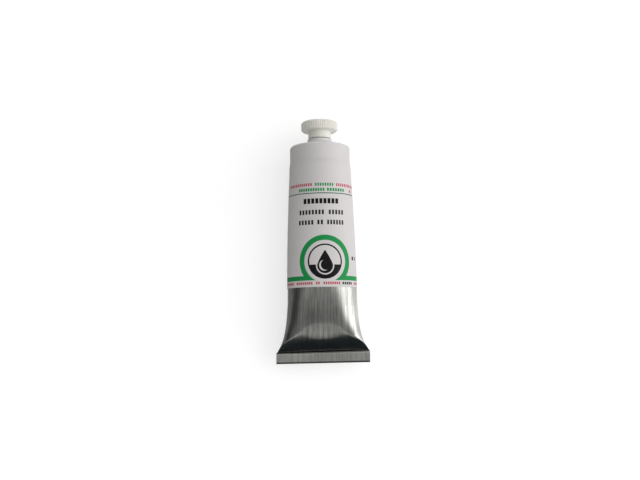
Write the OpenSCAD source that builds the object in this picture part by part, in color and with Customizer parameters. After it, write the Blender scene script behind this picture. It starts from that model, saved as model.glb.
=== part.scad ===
// Collapsible aluminium tube of artists' oil paint, lying on its back with its screw cap on.
// The tube runs along Y, with the cap towards +Y and the front of the label facing up.
// The origin is on the surface that it lies on, under the middle of its overall length.
// Distances along the tube are measured from the rim, the edge between body and shoulder.

/* [Tube body] */
// Outer diameter of the body at its round end
tube_d = 28; // [24:0.5:34]
// Length of the body from the rim to the fold
body_len = 97; // [80:1:120]
// Thickness of the soft wall
body_wall = 0.15; // [0.1:0.01:0.2]
// Thickness of the stiff band of wall next to the rim
band_wall = 0.4; // [0.35:0.05:0.6]
// Length of the stiff band
band_len = 6; // [4:0.5:9]
// Extra half width of the filled belly over the round end
belly_gain = 2.2; // [1:0.1:3]
// Distance over which the round end widens into the belly
belly_len = 58; // [45:1:62]
// Distance over which the belly flares into the fold
flare_len = 8.5; // [6:0.5:10]
// Depth of the flat pressed into the back of the body
back_flat = 0.25; // [0.15:0.05:0.4]

/* [Fold] */
// Height of the folded band
fold_h = 4.8; // [4:0.1:6]
// Clear space left between the layers of the fold
fold_gap = 0.06; // [0.04:0.01:0.1]
// Half height of the body where it goes over to the flat end
fold_z = 8; // [6:0.5:9]
// Length of the flat facet between the belly and the fold
facet_len = 11.2; // [9:0.1:14]

/* [Shoulder and neck] */
// Rise of the conical shoulder from the rim to the collar
shoulder_rise = 2.33; // [1.5:0.01:5]
// Thickness of the shoulder
shoulder_wall = 1; // [0.8:0.1:1.4]
// Radius of the rounded rim
rim_r = 1; // [0.6:0.1:1.5]
// Diameter of the collar under the cap
collar_d = 11.7; // [11:0.1:13]
// Height of the collar
collar_h = 1.5; // [1:0.1:2.5]
// Outer diameter of the thread on the neck
thread_d = 9; // [7.5:0.1:11]
// Pitch of the thread
pitch = 1.5; // [1.2:0.1:2]
// Thickness of the neck between its hole and the root of the thread
neck_wall = 1.15; // [0.9:0.05:1.4]

/* [Cap] */
// Diameter of the head of the cap over its ribs
head_d = 17.3; // [15:0.1:20]
// Height of the head of the cap
head_h = 4.5; // [3.8:0.1:7]
// Thickness of the skirt under the head, outside its thread
skirt_wall = 0.75; // [0.6:0.05:1.2]
// Height of the skirt
skirt_h = 3.67; // [3:0.01:5]
// Number of grip ribs round the head
ribs = 60; // [40:2:72]
// Depth of the grip ribs
rib_depth = 0.28; // [0.2:0.02:0.4]
// Thickness of the top of the cap over its bore
cap_top = 1.5; // [1.2:0.1:2]
// Depth of the shallow dish in the top of the cap
dish_depth = 0.3; // [0.2:0.05:0.4]
// Clear height between the skirt and the collar
cap_gap = 0.37; // [0.2:0.01:0.6]
// Thickness of the soft liner disc in the cap
liner_t = 0.8; // [0.5:0.1:1.2]

/* [Label] */
// Length of the paper label along the tube
label_len = 66; // [50:1:70]
// Thickness of the label paper
paper_t = 0.12; // [0.08:0.01:0.16]
// Width of the strip where the end of the label laps over its start
lap_w = 6; // [4:0.5:9]

/* [Hidden] */
$fn = 96;

// Running clearances and bonds
glue_gap = 0.04;
liner_play = 0.1;
seal_gap = 0.05;
thread_play = 0.15;
bead_gap = 0.12;
paint_gap = 0.05;

// The soft wall starts inside the stiff band and is a little narrower, so that the two are one piece
band_sink = 0.05;
band_lap = 2;
soft_start = band_len + 1;
round_r = tube_d / 2;
soft_r = round_r - band_sink;

// Height of the tube's axis, and of the underside of its soft wall, over the surface
skin = glue_gap + paper_t;
axis_z = round_r + skin;
back_z = skin + band_sink;
flat_len = 14;

// Folded end
layer_slack = 0.12;
slit_play = 0.02;
edge_play = 0.08;
layer_t = 2 * body_wall + layer_slack;
slit_half = body_wall + slit_play;
fold_half_w = PI * round_r / 2;
slit_half_w = fold_half_w - edge_play;
slit_lap = 0.6;
fold_mid = fold_z + back_z - back_flat;
height_blend = 3;
square_gain = 0.3;
square_start = 0.6;

// Places along the tube
cap_h = head_h + skirt_h;
over_rim = shoulder_rise + collar_h + cap_gap + cap_h;
total_len = over_rim + body_len + fold_h;
rim_y = total_len / 2 - over_rim;
collar_top = shoulder_rise + collar_h;
cap_mouth = collar_top + cap_gap;
cap_depth = cap_h - cap_top;
neck_top = cap_mouth + cap_depth - liner_t - seal_gap;

// Neck and cap thread
ridge_h = 0.55;
ridge_half_base = 0.45;
ridge_half_tip = 0.18;
ridge_sink = 0.25;
thread_root_r = thread_d / 2 - ridge_h;
bore_r = thread_root_r - neck_wall;
cap_bore_r = thread_d / 2 + thread_play;
neck_lead = 1;
neck_run_out = 0.68;
cap_lead = neck_lead - cap_gap + pitch / 2;
cap_turns = 2;
fade_steps = 5;
turn_steps = 36;
neck_chamfer = 0.3;
mouth_chamfer = 0.35;

// Rounding of the cap
head_top_r = 0.8;
head_under_r = 0.5;
skirt_out_r = cap_bore_r + skirt_wall;
skirt_r = 0.25;
rib_foot = 0.36;
rib_tip = 0.14;
rib_end = 0.75;
rib_seat = 0.08;
dish_edge = 2.2;
head_core_r = head_d / 2 - rib_depth - rib_seat;
arc_steps = 5;

// Shape grids
around = 64;
belly_steps = 13;
facet_steps = 9;
label_steps = 12;
label_start = 0.8;
lap_middle = 230;
lap_angle = lap_w / round_r * 180 / PI;
bead_end = 2;

function clamp(v, low, high) = min(max(v, low), high);
function ease(v) = let (c = clamp(v, 0, 1)) c * c * (3 - 2 * c);
function signed_power(v, e) = sign(v) * pow(abs(v), e);

// Larger of two values, with a soft change from one to the other
function soft_max(p, q, k) = let (m = clamp((1 + (p - q) / k) / 2, 0, 1)) q + (p - q) * m + k * m * (1 - m);

// Half width of the body: a round end, a belly that widens as a quarter sine, and a flare to the fold
function half_w(s) = soft_r + belly_gain * sin(90 * clamp((s - soft_start) / belly_len, 0, 1))
    + (slit_half_w - soft_r - belly_gain) * exp(min(s - body_len, 0) / flare_len);

// Half height of the body, from an oval of nearly constant girth down to the height of the flat end
function half_h(s) = soft_max(sqrt(max(2 * soft_r * soft_r - pow(half_w(s), 2), 0)), fold_z, height_blend);
function mid_z(s) = half_h(s) + back_z - back_flat * ease((s - soft_start) / flat_len);

// The section squares up a little towards the fold
function squareness(s) = 2 + square_gain * ease((s / body_len - square_start) / (1 - square_start));

// Rise and fall of the two facets over their length, and how far each moves when the wall moves by 1
facet_s = body_len - facet_len;
rise = (mid_z(facet_s) + half_h(facet_s) - fold_mid - slit_half) / facet_len;
fall = (fold_mid - slit_half - back_z) / facet_len;
rise_shift = sqrt(1 + rise * rise);
fall_shift = sqrt(1 + fall * fall);

// Point of the body at distance s and angle t, moved out from the wall's outer face by out
function body_point(s, t, out) = let (
        d = max(body_len - s, 0),
        e = 2 / squareness(s),
        x = (half_w(s) + out) * signed_power(cos(t), e),
        z = mid_z(s) + (half_h(s) + out) * signed_power(sin(t), e),
        top = fold_mid + slit_half + rise * d + rise_shift * out,
        low = max(back_z - out, fold_mid - slit_half - fall * d - fall_shift * out)
    ) [x, rim_y - s, clamp(z, low, top)];
function body_ring(s, out) = [for (k = [0:around - 1]) body_point(s, 360 * k / around, out)];
function rings(places, out) = [for (s = places) each body_ring(s, out)];

// Places of the rings along the soft wall, close together on the facets
belly_places = [for (k = [0:belly_steps]) soft_start + (facet_s - soft_start) * k / belly_steps];
function facet_places(last) = [for (k = [1:facet_steps]) facet_s + (last - facet_s) * k / facet_steps];

// Faces of a skin through rows of points, of its ends and of the edge between two skins
function skin_faces(rows, n, first) = [for (i = [0:rows - 2], j = [0:n - 1]) let (
        a = first + i * n + j,
        b = first + i * n + (j + 1) % n
    ) each [[a + n, b + n, b], [a + n, b, a]]];
function front_face(n, first) = [for (j = [0:n - 1]) first + j];
function back_face(n, first) = [for (j = [n:-1:1]) first + j % n];
function edge_faces(n, first, second) = [for (j = [0:n - 1])
    [first + j, first + (j + 1) % n, second + (j + 1) % n, second + j]];
function reverse(v) = [for (k = [len(v) - 1:-1:0]) v[k]];
function turned(faces) = [for (f = faces) reverse(f)];

// Solid with one skin, closed at both ends
module lofted(points, rows, n) {
    polyhedron(points, concat(
        skin_faces(rows, n, 0),
        [front_face(n, 0), back_face(n, (rows - 1) * n)]
    ));
}

// Places things made about the Z axis on the tube's axis, u above the rim
module on_axis(u) {
    translate([0, rim_y + u, axis_z]) rotate([-90, 0, 0]) children();
}

function arc(x, y, r, from, to) = [for (k = [0:arc_steps])
    let (a = from + (to - from) * k / arc_steps) [x + r * cos(a), y + r * sin(a)]];

// Thread ridge about Z: a tapered section carried up a helix, fading into its wall at both ends
module thread_ridge(base_r, tip_r, start, turns) {
    way = sign(tip_r - base_r);
    slope = (ridge_half_base - ridge_half_tip) / ridge_h;
    sunk_r = base_r - way * ridge_sink;
    steps = round(turns * turn_steps);
    points = [for (k = [0:steps]) let (
            fade = min(k, steps - k, fade_steps) / fade_steps,
            top_r = sunk_r + way * ridge_sink / 2 + (tip_r - sunk_r - way * ridge_sink / 2) * fade,
            a = 360 * k / turn_steps,
            z = start + pitch * k / turn_steps,
            wide = ridge_half_tip + slope * abs(tip_r - sunk_r),
            narrow = ridge_half_tip + slope * abs(tip_r - top_r)
        ) each [for (p = [[sunk_r, -wide], [sunk_r, wide], [top_r, narrow], [top_r, -narrow]])
            [p[0] * cos(a), p[0] * sin(a), z + p[1]]]];
    faces = concat(
        skin_faces(steps + 1, 4, 0),
        [front_face(4, 0), back_face(4, steps * 4)]
    );
    polyhedron(points, way > 0 ? faces : turned(faces));
}

// Soft wall of the body, pressed flat at the fold, with its front end inside the stiff band
module soft_wall() {
    outer = concat([band_len - band_lap], belly_places, facet_places(body_len), [body_len + slit_lap]);
    inner = concat([band_len - band_lap], belly_places, facet_places(body_len - 2 * body_wall));
    inner_first = len(outer) * around;
    polyhedron(
        concat(rings(outer, 0), rings(inner, -body_wall)),
        concat(
            skin_faces(len(outer), around, 0),
            [back_face(around, inner_first - around)],
            turned(skin_faces(len(inner), around, inner_first)),
            [front_face(around, inner_first + (len(inner) - 1) * around)],
            edge_faces(around, 0, inner_first)
        )
    );
}

// Stiff band, rounded rim, shoulder, collar and neck, turned about the tube's axis
module shoulder_and_neck() {
    tilt = atan2(shoulder_rise, round_r - collar_d / 2);
    rim_cut = rim_r * tan((90 - tilt) / 2);
    cone = tan(tilt);
    inner_r = round_r - band_wall;
    on_axis(0) rotate_extrude() polygon(concat(
        [[round_r, -band_len]],
        arc(round_r - rim_r, -rim_cut, rim_r, 0, 90 - tilt),
        [
            [collar_d / 2, shoulder_rise],
            [collar_d / 2, collar_top],
            [thread_root_r, collar_top],
            [thread_root_r, neck_top - neck_chamfer],
            [thread_root_r - neck_chamfer, neck_top],
            [bore_r, neck_top],
            [bore_r, (round_r - bore_r) * cone - shoulder_wall],
            [inner_r, band_wall * cone - shoulder_wall],
            [inner_r, -band_len]
        ]
    ));
}

// Spiral of the folded end: the pressed wall runs down, turns up at the front and turns in again
module fold_spiral() {
    step = layer_t + fold_gap;
    inner_low = -fold_h + step;
    translate([-fold_half_w, rim_y - body_len, fold_mid]) rotate([90, 0, 90])
        linear_extrude(height = 2 * fold_half_w) polygon([
            [0, layer_t / 2],
            [0, -layer_t / 2],
            [-fold_h, -layer_t / 2],
            [-fold_h, 2 * step + layer_t / 2],
            [-fold_gap, 2 * step + layer_t / 2],
            [-fold_gap, step - layer_t / 2],
            [inner_low, step - layer_t / 2],
            [inner_low, step + layer_t / 2],
            [-fold_gap - layer_t, step + layer_t / 2],
            [-fold_gap - layer_t, 2 * step - layer_t / 2],
            [-fold_h + layer_t, 2 * step - layer_t / 2],
            [-fold_h + layer_t, layer_t / 2]
        ]);
}

module tube_shell() {
    color("#8d8e86") union() {
        soft_wall();
        shoulder_and_neck();
        fold_spiral();
        on_axis(collar_top) thread_ridge(thread_root_r, thread_d / 2, neck_lead,
            (neck_top - collar_top - neck_chamfer - neck_lead - neck_run_out) / pitch);
    }
}

// Paper wrapped once round the body, with its end lapped over its start at the back
module label() {
    inside = band_sink + glue_gap;
    places = [for (k = [0:label_steps]) label_start + label_len * k / label_steps];
    function layers(t) = abs(t - lap_middle) < lap_angle / 2 ? 2 : 1;
    outer = [for (s = places, k = [0:around - 1]) let (t = 360 * k / around)
        body_point(s, t, inside + paper_t * layers(t))];
    inner_first = len(outer);
    rows = len(places);
    color("#e9e7e4") polyhedron(
        concat(outer, rings(places, inside)),
        concat(
            skin_faces(rows, around, 0),
            turned(skin_faces(rows, around, inner_first)),
            edge_faces(around, 0, inner_first),
            turned(edge_faces(around, inner_first - around, inner_first + (rows - 1) * around))
        )
    );
}

// Bead of latex that seals the pressed end just inside the fold
module end_sealant() {
    inset = -body_wall - bead_gap;
    places = [body_len - bead_end, body_len - (bead_end + 2 * body_wall) / 2,
        body_len - 2 * body_wall - bead_gap];
    color("#c9b27a") lofted(rings(places, inset), len(places), around);
}

// Paint that fills the body up to the underside of the shoulder
module oil_paint() {
    inset = band_sink - band_wall - paint_gap;
    tilt = atan2(shoulder_rise, round_r - collar_d / 2);
    front = shoulder_wall + paint_gap - (round_r - bore_r) * tan(tilt);
    edge = shoulder_wall + paint_gap - band_wall * tan(tilt);
    mouth = [for (k = [0:around - 1]) let (t = 360 * k / around)
        [bore_r * cos(t), rim_y - front, axis_z + bore_r * sin(t)]];
    places = concat([edge, band_len], belly_places, facet_places(body_len - bead_end - bead_gap));
    color("#f3f1ea") lofted(concat(mouth, rings(places, inset)), len(places) + 1, around);
}

// Outline of the grip: flat crests and valleys joined by sloping sides
module rib_outline() {
    step = 360 / ribs;
    crest_r = head_d / 2;
    valley_r = head_d / 2 - rib_depth;
    polygon([for (k = [0:ribs - 1]) each [
        for (p = [[valley_r, -rib_foot], [valley_r, -rib_tip], [crest_r, rib_tip], [crest_r, rib_foot]])
            [p[0] * cos((k + p[1]) * step), p[0] * sin((k + p[1]) * step)]
    ]]);
}

// Screw cap: a threaded skirt under a wide ribbed head
module cap() {
    color("#e4dfd2") on_axis(cap_mouth) union() {
        rotate_extrude() polygon(concat(
            [[cap_bore_r + mouth_chamfer, 0]],
            arc(skirt_out_r - skirt_r, skirt_r, skirt_r, -90, 0),
            [[skirt_out_r, skirt_h]],
            arc(head_core_r - head_under_r, skirt_h + head_under_r, head_under_r, -90, 0),
            arc(head_core_r - head_top_r, cap_h - head_top_r, head_top_r, 0, 90),
            [
                [head_core_r - dish_edge, cap_h],
                [head_core_r - dish_edge - dish_depth, cap_h - dish_depth],
                [0, cap_h - dish_depth],
                [0, cap_depth],
                [cap_bore_r, cap_depth],
                [cap_bore_r, mouth_chamfer]
            ]
        ));
        translate([0, 0, skirt_h + rib_end]) linear_extrude(height = head_h - 2 * rib_end) difference() {
            rib_outline();
            circle(r = skirt_out_r);
        }
        thread_ridge(cap_bore_r, cap_bore_r - ridge_h, cap_lead, cap_turns);
    }
}

// Soft disc that the neck seals against
module cap_liner() {
    color("#f2efe6") on_axis(cap_mouth + cap_depth - liner_t)
        cylinder(r = cap_bore_r - liner_play, h = liner_t);
}

tube_shell();
label();
end_sealant();
oil_paint();
cap();
cap_liner();
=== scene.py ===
import math

import bmesh
import bpy
import numpy as np
from mathutils import Matrix, Vector


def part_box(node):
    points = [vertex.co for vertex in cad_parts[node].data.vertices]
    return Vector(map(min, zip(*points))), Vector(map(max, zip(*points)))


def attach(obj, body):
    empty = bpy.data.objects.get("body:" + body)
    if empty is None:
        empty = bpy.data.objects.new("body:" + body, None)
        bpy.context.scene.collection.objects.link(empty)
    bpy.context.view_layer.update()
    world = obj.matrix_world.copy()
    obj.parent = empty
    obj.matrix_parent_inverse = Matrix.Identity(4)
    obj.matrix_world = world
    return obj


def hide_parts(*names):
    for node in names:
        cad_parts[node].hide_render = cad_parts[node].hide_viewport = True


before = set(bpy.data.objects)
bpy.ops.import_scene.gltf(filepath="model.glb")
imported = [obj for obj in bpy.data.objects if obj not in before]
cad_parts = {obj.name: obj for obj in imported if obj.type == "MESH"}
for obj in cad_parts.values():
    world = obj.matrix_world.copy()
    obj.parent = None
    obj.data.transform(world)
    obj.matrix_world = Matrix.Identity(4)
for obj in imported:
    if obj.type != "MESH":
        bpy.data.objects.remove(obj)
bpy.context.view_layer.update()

mm = 0.001  # shapes are worked out in millimetres and written in metres


def corners(box):
    # The two corners of a box, in millimetres
    return [np.array([float(v) for v in corner]) / mm for corner in box]


print("stage: frame loaded")

# sizes read from the frame
shellLow = corners(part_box("tube_shell"))[0]
labelLow, labelHigh = corners(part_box("label"))
capLow, capHigh = corners(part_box("cap"))
linerLow, linerHigh = corners(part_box("cap_liner"))
axisZ = (capLow[2] + capHigh[2]) / 2  # height of the tube's axis
foldBottom = shellLow[1]
labelTop = labelHigh[1]
capMouth = capLow[1]

body = {
    "roundR": 14.0,        # radius of the round end
    "length": 97.0,        # rim to fold
    "wall": 0.15,
    "bandWall": 0.4,       # stiff band next to the rim
    "bandLen": 7.0,
    "step": 0.22,          # small step where the stiff band ends
    "stepLen": 2.8,
    "bellyGain": 2.0,      # further widening, each side
    "bellyLen": 60.0,
    "flareLen": 8.5,
    "backFlat": 0.25,
    "foldZ": 8.0,
    "facetLen": 11.2,
    "creaseR": 1.6,        # softness of the crease in the middle and at the corners
    "creaseEndR": 0.28,
    "bulge": 0.85,         # how far the paint inside pushes the upper facet out
    "squareGain": 1.4,     # how much squarer the section is at the foot
    "squareStart": 0.66,   # share of the length where that begins
    "heightBlend": 3.0,    # softness of the change from oval to flat end
    "backEase": 14.0,      # length over which the back flattens
    "creaseSpan": (3, 8),  # how far from the middle the crease begins to sharpen, and over what width
    "creaseFade": 6,       # it also sharpens over this length above the fold
    "creaseLeast": 0.1,
    "flatSoft": 0.04,
    "endClear": 0.05,
    "dents": 0.045,        # height of the slow unevenness of the soft wall
    "dentFade": (10, 6),   # lengths over which it fades in below the band and out at the fold
    "columns": 256,
}
fold = {
    "height": 4.8, "gap": 0.06, "extra": 0.12,
    "skew": 0.018, "skewLow": 0.006,  # slants of its top and bottom edges
    "skewLen": 14, "wave": 0.05, "press": 0.02, "endSoft": 0.35, "columns": 120,
}
shoulder = {
    "rise": 2.33, "wall": 1.0, "rimR": 1.0, "collarD": 11.7, "collarH": 1.5, "collarR": 0.18,
    "rootR": 3.95, "boreR": 2.8, "lip": 0.25,
    "foot": 0.35, "rootSoft": 0.2,  # fillets at the foot of the collar and of the neck
}
thread = {
    "pitch": 1.5, "height": 0.55, "halfTip": 0.18, "halfBase": 0.45, "neckLead": 1.0,
    "capLead": 1.38, "capTurns": 2.0, "fade": 0.14,
}
sheet = {"paper": 0.12, "glue": 0.04}  # thickness of the label and of its glue
bandSink = 0.05  # the wall lies this much inside the round end's radius
backZ = sheet["glue"] + sheet["paper"] + bandSink
slitHalf = body["wall"] + 0.02  # half the thickness of the closed end
foldHalfW = math.pi * body["roundR"] / 2
rimY = foldBottom + fold["height"] + body["length"]
foldMid = body["foldZ"] + backZ - body["backFlat"]
streakLen = 400.0  # millimetres of wall in the length of the shell's map


def ease(v):
    # Smooth step: 3v^2 - 2v^3 between 0 and 1
    v = np.clip(v, 0, 1)
    return v * v * (3 - 2 * v)


def softMin(p, q, k):
    # Smaller of p and q, with a rounded change over a width k
    m = np.clip(0.5 + (q - p) / (2 * k), 0, 1)
    return q * (1 - m) + p * m - k * m * (1 - m)


def softMax(p, q, k):
    # Larger of p and q, with the same rounded change
    return -softMin(-p, -q, k)


def signedPower(v, e):
    # Power of the size of v, with the sign of v
    return np.sign(v) * np.abs(v) ** e


def halfWidth(s):
    # Round end, a small step after the stiff band, a quarter sine of belly, and a flare to the fold
    start = body["bandLen"]
    base = body["roundR"] - bandSink + body["step"] * ease((s - start) / body["stepLen"])
    belly = body["bellyGain"] * np.sin(np.pi / 2 * np.clip((s - start) / body["bellyLen"], 0, 1))
    end = foldHalfW - body["endClear"] - body["roundR"] + bandSink - body["step"] - body["bellyGain"]
    return base + belly + end * np.exp(np.minimum(s - body["length"], 0) / body["flareLen"])


def halfHeight(s):
    # Height of an oval of nearly constant girth, going over to the height of the flat end
    softR = body["roundR"] - bandSink
    oval = np.sqrt(np.maximum(2 * softR * softR - halfWidth(s) ** 2, 0))
    return softMax(oval, np.full_like(oval, body["foldZ"]), body["heightBlend"])


def midZ(s):
    return halfHeight(s) + backZ - body["backFlat"] * ease((s - body["bandLen"]) / body["backEase"])


def dent(s, t):
    # A few slow waves that make the hand filled wall slightly uneven, none on the stiff band
    wave = (np.sin(0.13 * s + 2.1 * np.cos(t) + 0.6) * np.cos(2 * t + 0.045 * s)
            + 0.6 * np.sin(0.31 * s - 3 * t + 1.1) * np.sin(t + 0.4)
            + 0.35 * np.sin(0.62 * s + 5 * np.cos(t - 0.7)))
    fadeIn, fadeOut = body["dentFade"]
    along = ease((s - body["bandLen"]) / fadeIn) * ease((body["length"] - s) / fadeOut)
    return body["dents"] * (wave - 1.6) * along


def skewed(x, s):
    # The fold isn't quite square to the tube: it rises evenly from one end to the other
    return fold["skew"] * (x + foldHalfW) * ease((s - body["length"] + fold["skewLen"]) / fold["skewLen"])


def bodyPoint(s, t, out):
    # Point of the wall s below the rim, at section angle t and moved outwards by out:
    # a superellipse section about the middle height, cut by the two facet planes and the flat back
    s, t = np.broadcast_arrays(s, t)
    d = np.maximum(body["length"] - s, 0)
    start = body["squareStart"]
    e = 2 / (2 + body["squareGain"] * ease((s / body["length"] - start) / (1 - start)))
    facetS = np.array(body["length"] - body["facetLen"])
    rise = (midZ(facetS) + halfHeight(facetS) - foldMid - slitHalf) / body["facetLen"]
    fall = (foldMid - slitHalf - backZ) / body["facetLen"]
    x = (halfWidth(s) + out) * signedPower(np.cos(t), e)
    z = midZ(s) + (halfHeight(s) + out) * signedPower(np.sin(t), e)
    across = np.clip(np.abs(x) / foldHalfW, 0, 1)
    inner, width = body["creaseSpan"]
    crease = body["creaseR"] + (body["creaseEndR"] - body["creaseR"]) * ease((np.abs(x) - inner) / width)
    crease = crease * ease(d / body["creaseFade"]) + body["creaseLeast"]
    part = np.clip(d / body["facetLen"], 0, 1)
    bulge = 4 * body["bulge"] * part * (1 - part) * (1 - across ** 2)
    top = foldMid + slitHalf + rise * d + bulge + math.hypot(1, rise) * out
    low = foldMid - slitHalf - fall * d - math.hypot(1, fall) * out
    z = softMin(z, top, crease)
    z = softMax(z, low, crease)
    z = softMax(z, np.full_like(z, backZ) - out, body["flatSoft"])
    return np.stack([x, rimY - s + skewed(x, s), z], -1)


def arcPoints(x, y, r, start, end, steps):
    # Points on a circle about (x, y) between two angles in degrees
    a = np.radians(np.linspace(start, end, steps + 1))
    return np.column_stack([x + r * np.cos(a), y + r * np.sin(a)])


def line(a, b, steps):
    # Points from a towards b, without b
    k = np.linspace(0, 1, steps, endpoint=False)[:, None]
    return np.array(a, float) * (1 - k) + np.array(b, float) * k


def ridge(u, angle, start, turns):
    # Height of a thread ridge, 0 to 1: a flat crest with sloping sides that follows a helix and
    # fades out at its ends
    p = thread["pitch"]
    lift = u - start - p * angle / (2 * np.pi)
    turn = np.round(lift / p)
    off = np.abs(lift - turn * p)
    along = turn + angle / (2 * np.pi)
    side = (thread["halfBase"] - off) / (thread["halfBase"] - thread["halfTip"])
    ends = ease(along / thread["fade"]) * ease((turns - along) / thread["fade"])
    return ease(side * 0.9 + 0.05) * ends


def gridFaces(rows, cols, first=0, closed=True):
    # Quads between neighbouring rows of a grid, round to the start again if it is closed
    i = np.arange(rows - 1)[:, None]
    j = np.arange(cols if closed else cols - 1)[None, :]
    a = first + i * cols + j
    b = first + i * cols + (j + 1) % cols
    return np.stack([a + cols, b + cols, b, a], -1).reshape(-1, 4)


def sheetFaces(rows, cols, flipped):
    # Two sides of rows by cols points and the four edges between them; one side's faces are turned over
    size = rows * cols
    sides = [gridFaces(rows, cols, first, False) for first in (0, size)]
    sides[flipped] = sides[flipped][:, ::-1]
    edges = [(row * cols + np.arange(cols - 1), 1) for row in (0, rows - 1)]
    edges += [(np.arange(rows - 1) * cols + last, cols) for last in (0, cols - 1)]
    return np.concatenate(sides + [np.stack([a, a + step, a + step + size, a + size], -1) for a, step in edges])


def makeMesh(name, points, faces, uv=None):
    # Writes whole arrays of points in millimetres and quads into a new object
    mesh = bpy.data.meshes.new(name)
    points = np.ascontiguousarray(points, dtype=np.float32) * np.float32(mm)
    faces = np.ascontiguousarray(faces, dtype=np.int32)
    mesh.vertices.add(len(points))
    mesh.vertices.foreach_set("co", points.ravel())
    mesh.loops.add(faces.size)
    mesh.loops.foreach_set("vertex_index", faces.ravel())
    mesh.polygons.add(len(faces))
    mesh.polygons.foreach_set("loop_start", np.arange(0, faces.size, 4, dtype=np.int32))
    mesh.polygons.foreach_set("loop_total", np.full(len(faces), 4, dtype=np.int32))
    mesh.update(calc_edges=True)
    if uv is not None:
        around = uv[faces]
        wide = np.ptp(around[..., 0], axis=1, keepdims=True) > 0.5
        around[..., 0] += wide * (around[..., 0] < 0.5)  # a face across the seam runs on past 1
        layer = mesh.uv_layers.new(name="UVMap")
        layer.data.foreach_set("uv", np.ascontiguousarray(around, dtype=np.float32).ravel())
    mesh.validate()
    piece = bpy.data.objects.new(name, mesh)
    bpy.context.scene.collection.objects.link(piece)
    return piece


def closeUp(piece, gap=2e-7):
    # Merges doubled points, turns every face outwards and shades the surface smoothly
    mesh = piece.data
    work = bmesh.new()
    work.from_mesh(mesh)
    bmesh.ops.remove_doubles(work, verts=work.verts, dist=gap)
    bmesh.ops.dissolve_degenerate(work, edges=work.edges, dist=gap)
    bmesh.ops.recalc_face_normals(work, faces=work.faces)
    for face in work.faces:
        face.smooth = True
    work.to_mesh(mesh)
    work.free()
    mesh.update()


def sharpen(piece, degrees):
    # Keeps edges over the given angle crisp
    mesh = piece.data
    work = bmesh.new()
    work.from_mesh(mesh)
    limit = math.radians(degrees)
    for edge in work.edges:
        edge.smooth = len(edge.link_faces) != 2 or edge.calc_face_angle(0) < limit
    work.to_mesh(mesh)
    work.free()


def joinPieces(pieces, name):
    bpy.ops.object.select_all(action="DESELECT")
    for piece in pieces:
        piece.select_set(True)
    bpy.context.view_layer.objects.active = pieces[0]
    bpy.ops.object.join()
    pieces[0].name = name
    pieces[0].data.name = name
    return pieces[0]


def turned(profile, columns, shift=None, first=0.0):
    # Carries a profile of (radius, height over the rim) round the tube's axis; shift changes the radius
    angle = first + np.linspace(0, 2 * np.pi, columns, endpoint=False)[None, :]
    r = np.broadcast_to(profile[:, 0:1], (len(profile), columns)).copy()
    u = np.broadcast_to(profile[:, 1:2], (len(profile), columns))
    if shift is not None:
        r = shift(r, u, angle)
    # angle counts from up towards +X, right-handed about +Y
    return np.stack([r * np.sin(angle), rimY + u, axisZ + r * np.cos(angle)], -1)


def newMaterial(name):
    material = bpy.data.materials.new(name)
    material.use_nodes = True
    nodes = material.node_tree.nodes
    nodes.clear()
    shader = nodes.new("ShaderNodeBsdfPrincipled")
    output = nodes.new("ShaderNodeOutputMaterial")
    material.node_tree.links.new(shader.outputs[0], output.inputs[0])
    return material, shader


class Wiring:
    # Short calls for adding nodes to one tree
    def __init__(self, tree):
        self.tree = tree

    def node(self, kind, **settings):
        made = self.tree.nodes.new(kind)
        for key, value in settings.items():
            setattr(made, key, value)
        return made

    def link(self, source, target):
        self.tree.links.new(source, target)

    def put(self, socket, value):
        if isinstance(value, bpy.types.NodeSocket):
            self.link(value, socket)
        else:
            socket.default_value = value

    def maths(self, how, a, b=0.0, c=0.0, clamp=False):
        made = self.node("ShaderNodeMath", operation=how, use_clamp=clamp)
        for socket, value in zip(made.inputs, (a, b, c)):
            self.put(socket, value)
        return made.outputs[0]

    def times(self, a, b):
        return self.maths("MULTIPLY", a, b)

    def plus(self, a, b, clamp=False):
        return self.maths("ADD", a, b, clamp=clamp)

    def less(self, a, b, clamp=False):
        return self.maths("SUBTRACT", a, b, clamp=clamp)

    def rest(self, a):
        return self.less(1.0, a)

    def most(self, a, b):
        return self.maths("MAXIMUM", a, b)

    def least(self, a, b):
        return self.maths("MINIMUM", a, b)

    def split(self, vector):
        made = self.node("ShaderNodeSeparateXYZ")
        self.link(vector, made.inputs[0])
        return made.outputs

    def mix(self, factor, a, b):
        # Colours when one of them is given as a tuple, else plain values
        colour = any(isinstance(v, tuple) or getattr(v, "type", "") == "RGBA" for v in (a, b))
        made = self.node("ShaderNodeMix", data_type="RGBA" if colour else "FLOAT")
        first = 6 if colour else 2
        self.put(made.inputs[0], factor)
        self.put(made.inputs[first], a)
        self.put(made.inputs[first + 1], b)
        return made.outputs[2 if colour else 0]

    def ramp(self, value, low, high, toLow=0.0, toHigh=1.0):
        made = self.node("ShaderNodeMapRange", clamp=True, interpolation_type="SMOOTHSTEP")
        for socket, given in zip(made.inputs, (value, low, high, toLow, toHigh)):
            self.put(socket, given)
        return made.outputs[0]

    def noise(self, vector, scale, detail=3.0, roughness=0.5):
        made = self.node("ShaderNodeTexNoise")
        self.put(made.inputs["Vector"], vector)
        made.inputs["Scale"].default_value = scale
        made.inputs["Detail"].default_value = detail
        made.inputs["Roughness"].default_value = roughness
        return made.outputs["Fac"]

    def bump(self, shader, height, strength, distance):
        made = self.node("ShaderNodeBump")
        made.inputs["Strength"].default_value = strength
        made.inputs["Distance"].default_value = distance
        self.link(height, made.inputs["Height"])
        self.link(made.outputs[0], shader.inputs["Normal"])


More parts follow.
